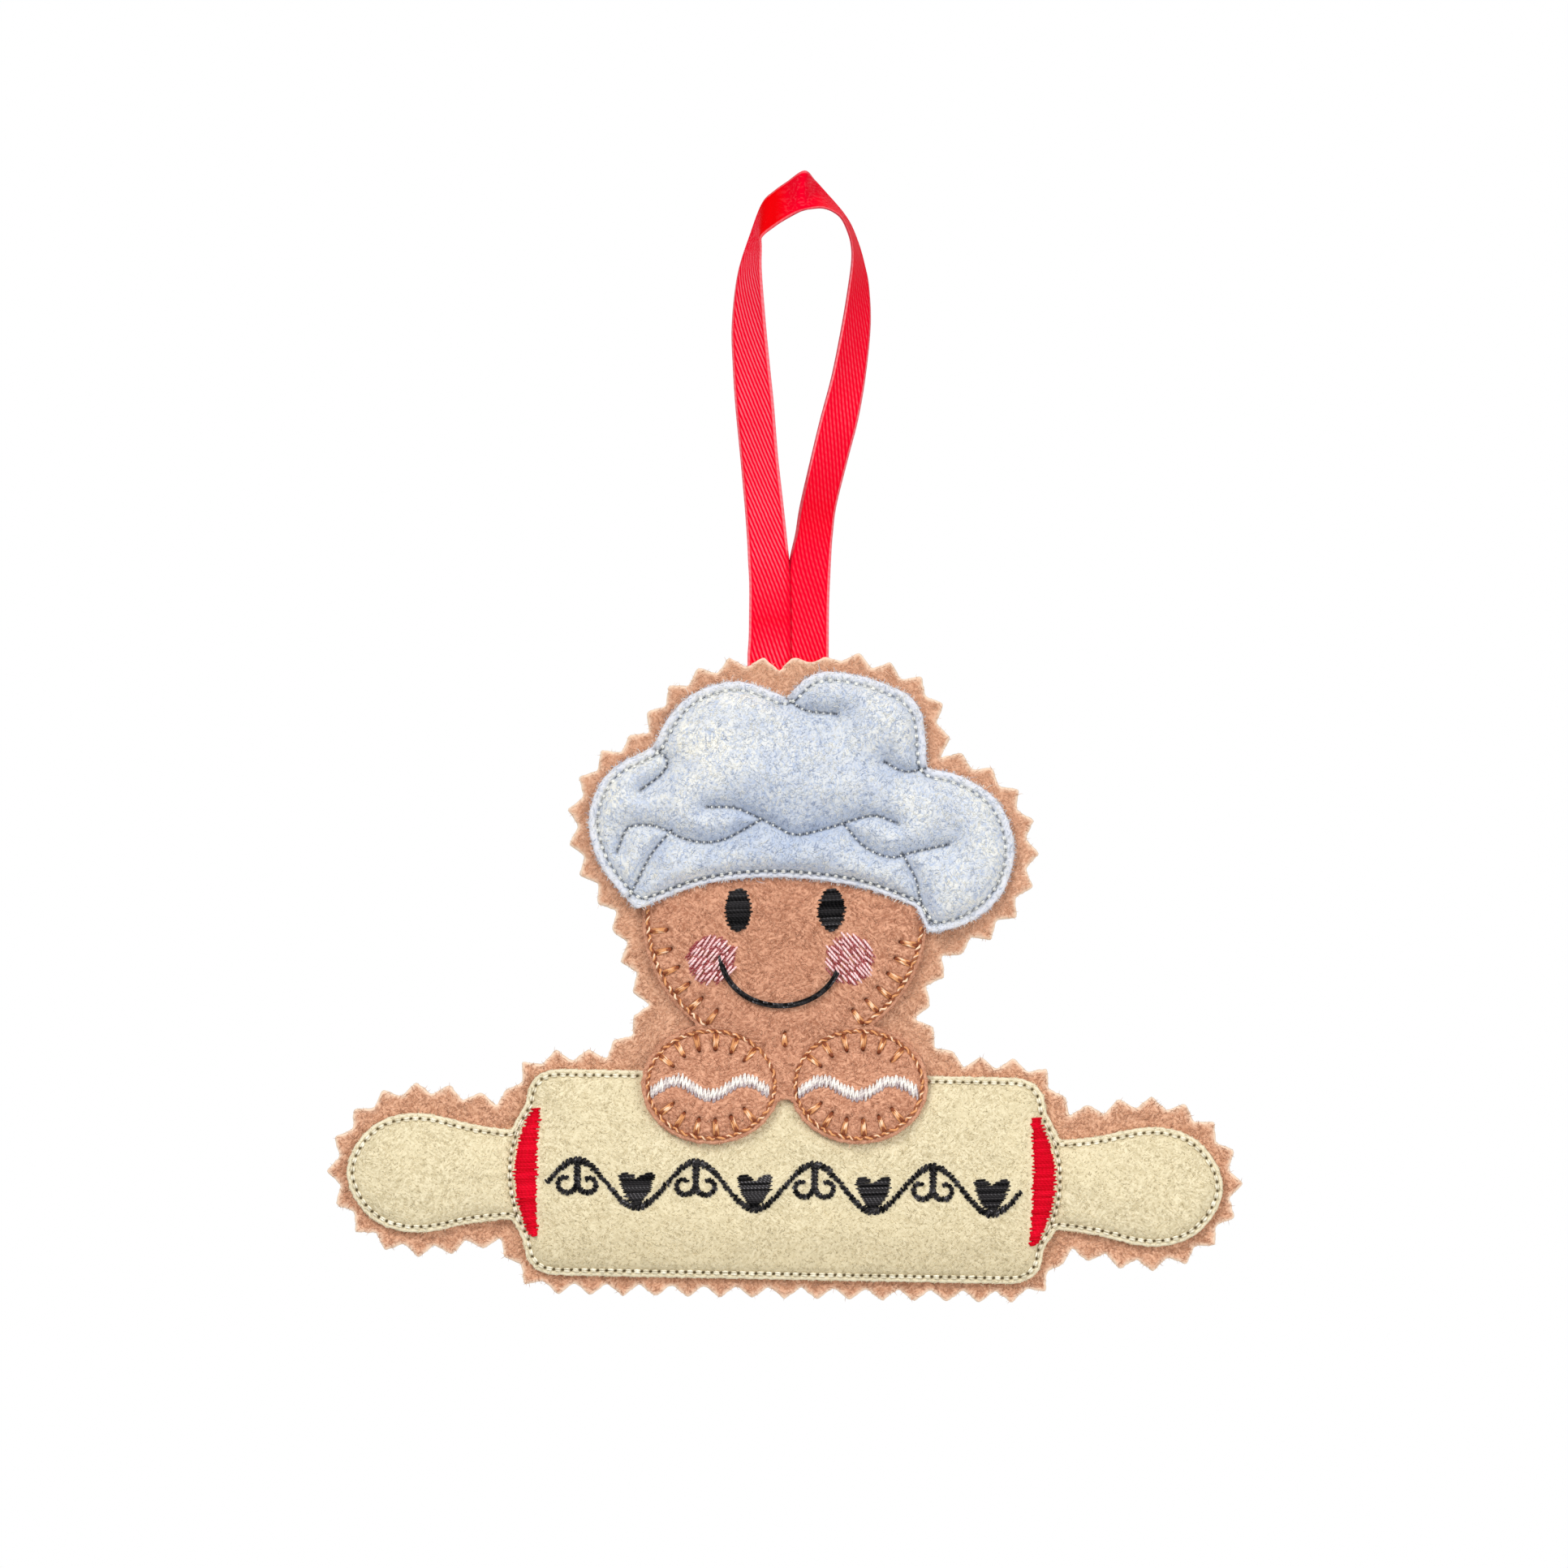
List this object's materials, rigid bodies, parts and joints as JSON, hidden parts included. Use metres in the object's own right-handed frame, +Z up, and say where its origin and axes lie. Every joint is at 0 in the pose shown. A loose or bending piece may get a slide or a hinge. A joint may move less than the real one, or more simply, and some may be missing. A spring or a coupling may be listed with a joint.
{
  "type": "felt christmas ornament",
  "caption": "Flat layered felt figure in a puffed cook's hat behind a rolling pin, sewn to a pinked backing, hung on a satin ribbon loop.",
  "frame": {"origin": "inside top of the ribbon loop, where a hook or twig carries it", "axes": "+X to the viewer's right, +Y away from the viewer, +Z up"},
  "size_m": [0.1356, 0.0121, 0.1678],
  "materials": {
    "tan_felt": "matte napped craft felt with pinked edges",
    "brown_felt": "matte napped craft felt",
    "cream_felt": "matte napped craft felt",
    "hat_felt": "matte napped craft felt, faintly mottled",
    "stabiliser": "thin non-woven sheet",
    "ribbon_red": "satin weave with a twill line and plain selvages",
    "thread_black": "glossy embroidery thread",
    "thread_white": "glossy embroidery thread",
    "thread_pink": "glossy embroidery thread",
    "thread_rust": "glossy embroidery thread",
    "thread_red": "glossy embroidery thread",
    "thread_cream": "glossy embroidery thread"
  },
  "bodies": {
    "hanger": {"ribbon_loop": "ribbon_red"},
    "ornament": {"ribbon_tail_left": "ribbon_red", "ribbon_tail_right": "ribbon_red", "back_felt": "tan_felt", "front_felt": "tan_felt", "stabiliser": "stabiliser", "pin_felt": "cream_felt", "pin_stitching": "thread_cream", "gingerbread_felt": "brown_felt", "hat_stitching": "thread_cream", "hat_felt": "hat_felt", "chin_stitch": "thread_rust", "mouth": "thread_black", "scroll_embroidery": "thread_black", "back_seam": "thread_cream", "head_stitching_left": "thread_rust", "paw_stitching_left": "thread_rust", "icing_left": "thread_white", "eye_left": "thread_black", "cheek_left": "thread_pink", "band_left": "thread_red", "head_stitching_right": "thread_rust", "paw_stitching_right": "thread_rust", "icing_right": "thread_white", "eye_right": "thread_black", "cheek_right": "thread_pink", "band_right": "thread_red"}
  },
  "joints": [
    {"name": "ribbon_flex", "type": "hinge", "parent": "hanger", "child": "ornament", "pos_m": [0, 0, -0.0643], "axis": [1, 0, 0], "range_deg": [-85, 85]}
  ]
}
